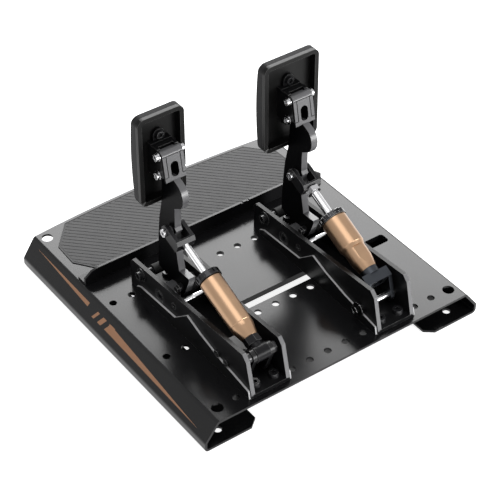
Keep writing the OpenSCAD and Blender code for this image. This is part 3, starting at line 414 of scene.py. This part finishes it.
# The collars' broken edges are painted far paler than the dark collar: a painted highlight on the notches,
# as well as worn metal
dress(metal("collar_alloy", (0.035, 0.035, 0.037), 0.22, worn_and_glint=0.7), *of_sides("collar"), edge=0.3)
dress(metal("block_alloy", (0.045, 0.049, 0.056), 0.4), "brake_end_block", edge=0.4)
dress(coat("end_coat", SCREW_BLACK, 0.3, gloss=0.1, peel=FINE_PEEL), "throttle_rod_end", edge=0.4)
dress(metal("load_steel", (0.5, 0.5, 0.5), 0.3), "brake_load_cell", "throttle_magnet")
dress(metal("coil_steel", (0.35, 0.35, 0.36), 0.3, damper_axis("throttle"), ring=2 * MM),
      "throttle_spring")
dress(soft("black_plastic", (0.012, 0.012, 0.013), 0.45, grain=0.3 * MM, depth=0.01 * MM),
      "throttle_sensor", edge=0.4)
for side in SIDES:
    axis = damper_axis(side)
    dress(metal(f"{side}_rod_steel", (0.72, 0.72, 0.73), 0.09, axis, ring=0.4 * MM, depth=0.001 * MM),
          f"{side}_rod", f"{side}_piston", edge=0.2)
    dress(metal(f"{side}_copper", (0.40, 0.258, 0.162), 0.32, axis, ring=0.22 * MM, tarnish=0.85),
          f"{side}_sleeve", edge=0.3)
    dress(metal(f"{side}_bronze", (0.45, 0.27, 0.13), 0.3, axis, ring=0.3 * MM), f"{side}_guide_bush")


# Pieces with broken edges

# Nodes inside others, which keep their own shape
HIDDEN = {"throttle_magnet", "brake_load_cell", *of_sides("piston", "guide_bush", "pivot_shaft")}
BODY_OF = {node: body for body, nodes in frame["record"]["behaviour"]["bodies"].items() for node in nodes}

# Vertices nearer than WELD are one. Faces that meet flatter than FLAT_ANGLE are one, and edges sharper than
# BREAK_ANGLE are broken
WELD = 0.002 * MM
FLAT_ANGLE = math.radians(0.4)
BREAK_ANGLE = math.radians(28)

# A face in the second tone points sideways (x) by less than this, and on a bracket forwards (y) by more.
# On brackets, side plates and arms that paler tone is painted reflection, as well as bare cut metal
SECOND_TONE_LEAN = 0.4
# A bracket's front faces take the second tone, a painted reflection, above this height. A pin's ends are
# dark beyond a middle of this width
BRACKET_FLOOR = 42 * MM
PIN_MIDDLE = 52 * MM
# A tray's rim: its width, how much it points towards the damper (y), and how near its outside is to the box
RIM = 5.4 * MM
RIM_LEAN = 0.3
TRAY_OUTSIDE = 1 * MM


def carry_over(node):
    """Gives a node its finish."""
    mesh = frame["nodes"][node].data
    mesh.materials.clear()
    mesh.materials.append(FINISH_OF[node])


def takes_second_tone(node, face, low, high):
    """Whether a face takes a second tone: painted reflection as well as bare cut metal on brackets, side
    plates and arms, painted light on a tray's rim, and the dark ends of a pin.
    """
    spot = face.calc_center_median()
    normal = face.normal
    kind = node.split("_", 1)[1]
    if kind == "bracket":
        return normal.y > SECOND_TONE_LEAN and spot.z > BRACKET_FLOOR
    if kind == "lower_pin":
        return abs(2 * spot.x - low.x - high.x) > PIN_MIDDLE
    if kind == "pad_tray":
        edge = min(spot.x - low.x, high.x - spot.x, spot.z - low.z, high.z - spot.z)
        return abs(normal.x) < SECOND_TONE_LEAN and edge < RIM and (normal.y > RIM_LEAN or edge < TRAY_OUTSIDE)
    return abs(normal.x) < SECOND_TONE_LEAN


def edged(node):
    """A copy of a node with its outer edges broken, as machining, folding and coating leave them."""
    bm = bmesh.new()
    bm.from_mesh(frame["nodes"][node].data)
    bmesh.ops.remove_doubles(bm, verts=bm.verts, dist=WELD)
    bmesh.ops.dissolve_limit(bm, angle_limit=FLAT_ANGLE, verts=bm.verts, edges=bm.edges)
    outer = [e for e in bm.edges
             if len(e.link_faces) == 2 and e.is_convex and e.calc_face_angle() > BREAK_ANGLE]
    made = bmesh.ops.bevel(bm, geom=outer, offset=EDGE_OF[node] * MM, offset_type="OFFSET", segments=2,
                           profile=0.5, affect="EDGES", clamp_overlap=True)
    broken = set(made["faces"])
    bm.faces.index_update()
    low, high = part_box(node)
    marks = {"edge": [float(face in broken) for face in bm.faces],
             "second_tone": [float(takes_second_tone(node, face, low, high)) for face in bm.faces]}
    for face in bm.faces:
        face.smooth = True
    for e in bm.edges:
        e.smooth = len(e.link_faces) != 2 or e.calc_face_angle() < BREAK_ANGLE
    return finish_piece(bm, f"{node}_edged", node, marks)


def new_object(bm, name, finish):
    """Turns a mesh into an object in the scene."""
    mesh = bpy.data.meshes.new(name)
    bm.to_mesh(mesh)
    bm.free()
    mesh.materials.append(finish)
    made = bpy.data.objects.new(name, mesh)
    bpy.context.scene.collection.objects.link(made)
    return made


def finish_piece(bm, name, node, marks=None):
    """Turns a mesh into a piece that stands for a node, on the node's body and in its finish."""
    piece = new_object(bm, name, FINISH_OF[node])
    for mark, values in (marks or {}).items():
        piece.data.attributes.new(mark, "FLOAT", "FACE").data.foreach_set("value", values)
    weighted = piece.modifiers.new("weighted", "WEIGHTED_NORMAL")
    weighted.keep_sharp = True
    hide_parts(node)
    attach(piece, BODY_OF[node])
    return piece


# The heel mat's ribs

RIB_PITCH = 5.77 * MM
RIB_WIDTH = 4.1 * MM
# Ribs to each side of the middle, and half the length of one before it is clipped: more than the mat needs
RIBS = 60
RIB_REACH = 400 * MM
# Thickness of the sheet below the ribs, and how deep the ribs are sunk in it
SHEET = 0.7 * MM
SUNK = 0.1 * MM
# From the mat's edge to the ribs, and the width of the raised border along the edge
RIB_INSET = 2.6 * MM
BORDER = 1.092 * MM


def pairs(ring):
    """Each item of a closed ring with the next one."""
    return zip(ring, ring[1:] + ring[:1])


def inside(polygon, point, normal):
    """The part of a convex polygon on the side of a line that its normal points away from."""
    kept = []
    for a, b in pairs(polygon):
        side_a = (a - point).dot(normal)
        side_b = (b - point).dot(normal)
        if side_a <= 0:
            kept.append(a)
        if side_a * side_b < 0:
            kept.append(a + (b - a) * (side_a / (side_a - side_b)))
    return kept


def inset_ring(ring, outward, inset):
    """A ring's corners in the same order, each moved in by this much from its two sides."""
    lines = [(a - n * inset, n) for a, n in zip(ring, outward)]
    points = []
    for (a, n), (b, m) in pairs(lines):
        cross = n.x * m.y - n.y * m.x
        c, d = a.dot(n), b.dot(m)
        points.append(Vector(((c * m.y - d * n.y) / cross, (d * n.x - c * m.x) / cross)))
    return points[-1:] + points[:-1]


def raise_slab(bm, ring, bottom, top):
    """A slab on a ring of points: the base sheet, or a rib."""
    lower = [bm.verts.new((p.x, p.y, bottom)) for p in ring]
    upper = [bm.verts.new((p.x, p.y, top)) for p in ring]
    bm.faces.new(upper)
    bm.faces.new(list(reversed(lower)))
    for (a, b), (c, d) in zip(pairs(lower), pairs(upper)):
        bm.faces.new((a, b, d, c))


def raise_border(bm, outer, inner, bottom, top):
    """A raised border between two rings of points."""
    rows = [[bm.verts.new((p.x, p.y, z)) for p in ring]
            for ring, z in ((outer, bottom), (outer, top), (inner, top), (inner, bottom))]
    for row, following in pairs(rows):
        for (a, b), (c, d) in zip(pairs(row), pairs(following)):
            bm.faces.new((a, b, d, c))


def heel_mat():
    """The mat's base sheet with slanting ribs on it, inside a plain border."""
    low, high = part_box("heel_mat")
    vertices = frame["nodes"]["heel_mat"].data.vertices
    corners = [Vector(c) for c in sorted({(round(v.co.x, 6), round(v.co.y, 6)) for v in vertices})]
    middle = sum(corners, Vector((0, 0))) / len(corners)
    outline = sorted(corners, key=lambda c: math.atan2(c.y - middle.y, c.x - middle.x))
    outward = [Vector((b.y - a.y, a.x - b.x)).normalized() for a, b in pairs(outline)]
    bm = bmesh.new()
    raise_slab(bm, outline, low.z, low.z + SHEET)
    bottom = low.z + SHEET - SUNK
    ridge = Vector((-1, 1)).normalized() * RIB_REACH
    across = Vector((1, 1)).normalized()
    half = across * (RIB_WIDTH / 2)
    for i in range(-RIBS, RIBS + 1):
        centre = across * (i * RIB_PITCH)
        strip = [centre - half - ridge, centre + half - ridge,
                 centre + half + ridge, centre - half + ridge]
        for point, normal in zip(outline, outward):
            if len(strip) > 2:
                strip = inside(strip, point - normal * RIB_INSET, normal)
        if len(strip) > 2:
            raise_slab(bm, strip, bottom, high.z)
    raise_border(bm, outline, inset_ring(outline, outward, BORDER), bottom, high.z)
    bmesh.ops.recalc_face_normals(bm, faces=bm.faces)
    for face in bm.faces:
        face.smooth = False
    return finish_piece(bm, "heel_mat_ribbed", "heel_mat")


# What the pedals squeeze inside the dampers

COIL_TURNS = 9
COIL_STEPS = 20
COIL_RADIUS = 7.6 * MM
WIRE_SIDES = 8
WIRE_RADIUS = 1.3 * MM


def coil(node):
    """The throttle's return spring: round wire wound about the damper's axis, with flat end turns."""
    axis = Vector(damper_axis("throttle"))
    right = Vector((1, 0, 0))
    up = axis.cross(right)
    corners = [v.co for v in frame["nodes"][node].data.vertices]
    middle = sum(corners, Vector((0, 0, 0))) / len(corners)
    foot = min(axis.dot(c) for c in corners)
    climb = max(axis.dot(c) for c in corners) - foot - 2 * WIRE_RADIUS
    start = middle + axis * (foot + WIRE_RADIUS - axis.dot(middle))
    bm = bmesh.new()
    loops = []
    for step in range(COIL_TURNS * COIL_STEPS + 1):
        turn = step / COIL_STEPS
        outward = right * math.cos(math.tau * turn) + up * math.sin(math.tau * turn)
        share = min(max((turn - 1) / (COIL_TURNS - 2), 0), 1)
        centre = start + axis * (share * climb) + outward * COIL_RADIUS
        around = [math.tau * i / WIRE_SIDES for i in range(WIRE_SIDES)]
        loops.append([bm.verts.new(centre + (outward * math.cos(a) + axis * math.sin(a)) * WIRE_RADIUS)
                      for a in around])
    for loop, following in zip(loops, loops[1:]):
        for (a, b), (c, d) in zip(pairs(loop), pairs(following)):
            bm.faces.new((a, b, d, c))
    bm.faces.new(loops[0])
    bm.faces.new(loops[-1])
    bmesh.ops.recalc_face_normals(bm, faces=bm.faces)
    for face in bm.faces:
        face.smooth = len(face.verts) == 4
    return finish_piece(bm, "throttle_spring_coil", node)


def squeeze(piece):
    """Gives a piece a mesh of its own."""
    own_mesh(piece)


for node in frame["nodes"]:
    if node == "heel_mat":
        heel_mat()
    elif node == "throttle_spring":
        squeeze(coil(node))
    elif node == "brake_elastomers":
        squeeze(edged(node))
    elif node not in HIDDEN:
        edged(node)
    carry_over(node)


# Camera at the photograph's angle, fitted to a frame of 500 by 500

CAMERA_TARGET = Vector((-0.01978, -0.01495, 0.036))
CAMERA_AZIMUTH = 144.1308
CAMERA_ELEVATION = 39.9030
CAMERA_ROLL = math.radians(-0.0998)
CAMERA_DISTANCE = 2.07063
CAMERA_LENS = 125.66
CAMERA_SENSOR = 36


def towards(azimuth, elevation):
    """The way from the object to something, by angles in degrees. Azimuth 0 is -Y and 90 is +X."""
    turn = math.radians(azimuth)
    rise = math.radians(elevation)
    return Vector((math.sin(turn) * math.cos(rise), -math.cos(turn) * math.cos(rise), math.sin(rise)))


def aim(thing, way, distance, target, roll=0.0):
    """Puts a camera or lamp this way and far from its target, facing it."""
    thing.rotation_mode = "QUATERNION"
    thing.location = target + way * distance
    thing.rotation_quaternion = (-way).to_track_quat("-Z", "Y") @ Quaternion((0, 0, 1), roll)


camera_data = bpy.data.cameras.new("camera")
camera_data.sensor_width = CAMERA_SENSOR
camera_data.lens = CAMERA_LENS
camera_data.clip_start = 0.05
camera_data.clip_end = 50
camera = bpy.data.objects.new("camera", camera_data)
bpy.context.scene.collection.objects.link(camera)
aim(camera, towards(CAMERA_AZIMUTH, CAMERA_ELEVATION), CAMERA_DISTANCE, CAMERA_TARGET, CAMERA_ROLL)
bpy.context.scene.camera = camera


# Lamps

LAMP_TARGET = Vector((0, 0, 0.04))


def lamp(name, azimuth, elevation, distance, size, power):
    """A soft panel that faces the object. Its size is its width and height in metres."""
    data = bpy.data.lights.new(name, "AREA")
    data.shape = "RECTANGLE"
    data.size, data.size_y = size
    data.energy = power
    panel = bpy.data.objects.new(name, data)
    bpy.context.scene.collection.objects.link(panel)
    aim(panel, towards(azimuth, elevation), distance, LAMP_TARGET)


lamp("rear_panel", azimuth=-39, elevation=36, distance=3.0, size=(2.4, 1.0), power=72)
lamp("front_panel", azimuth=208, elevation=10, distance=2.2, size=(1.2, 0.9), power=44)
lamp("top_panel", azimuth=100, elevation=78, distance=2.4, size=(1.8, 1.8), power=22)


# Floor and surroundings: white where they are looked at or mirrored, plain light otherwise

FLOOR_GLOW = 0.85
FLOOR_COLOUR = 0.80
FLOOR_SIZE = 12.0
FLOOR_BELOW = 0.2 * MM
AMBIENT = 0.35


def seen(f):
    """1 for the rays that look at the background, straight or by way of a mirror or glass."""
    rays = f.add("ShaderNodeLightPath").socket.node.outputs
    looks = Value(f, rays["Is Camera Ray"])
    for name in ("Is Glossy Ray", "Is Transmission Ray"):
        looks = looks.maths("MAXIMUM", looks, Value(f, rays[name]))
    return looks


def floor():
    """A wide sheet of pale paper just under the object."""
    f = new_finish("floor_paper")
    paper = f.add("ShaderNodeBsdfDiffuse", None, {"Color": rgba(FLOOR_COLOUR)})
    glow = f.add("ShaderNodeEmission", None, {"Strength": FLOOR_GLOW})
    lit = f.add("ShaderNodeAddShader", None, {0: paper, 1: glow})
    finish = f.end(f.mix_shaders(seen(f), paper, lit))
    bm = bmesh.new()
    bmesh.ops.create_grid(bm, x_segments=8, y_segments=8, size=FLOOR_SIZE,
                          matrix=Matrix.Translation((0, 0, -FLOOR_BELOW)))
    new_object(bm, "floor", finish)


def surroundings():
    """Even light from all round."""
    world = bpy.data.worlds.new("surroundings")
    bpy.context.scene.world = world
    f = Finish(world)
    strength = seen(f) * (1 - AMBIENT) + AMBIENT
    light = f.add("ShaderNodeBackground", None, {"Color": rgba(1.0), "Strength": strength})
    f.end(light, "ShaderNodeOutputWorld")


floor()
surroundings()

bpy.context.scene.view_settings.view_transform = "Standard"
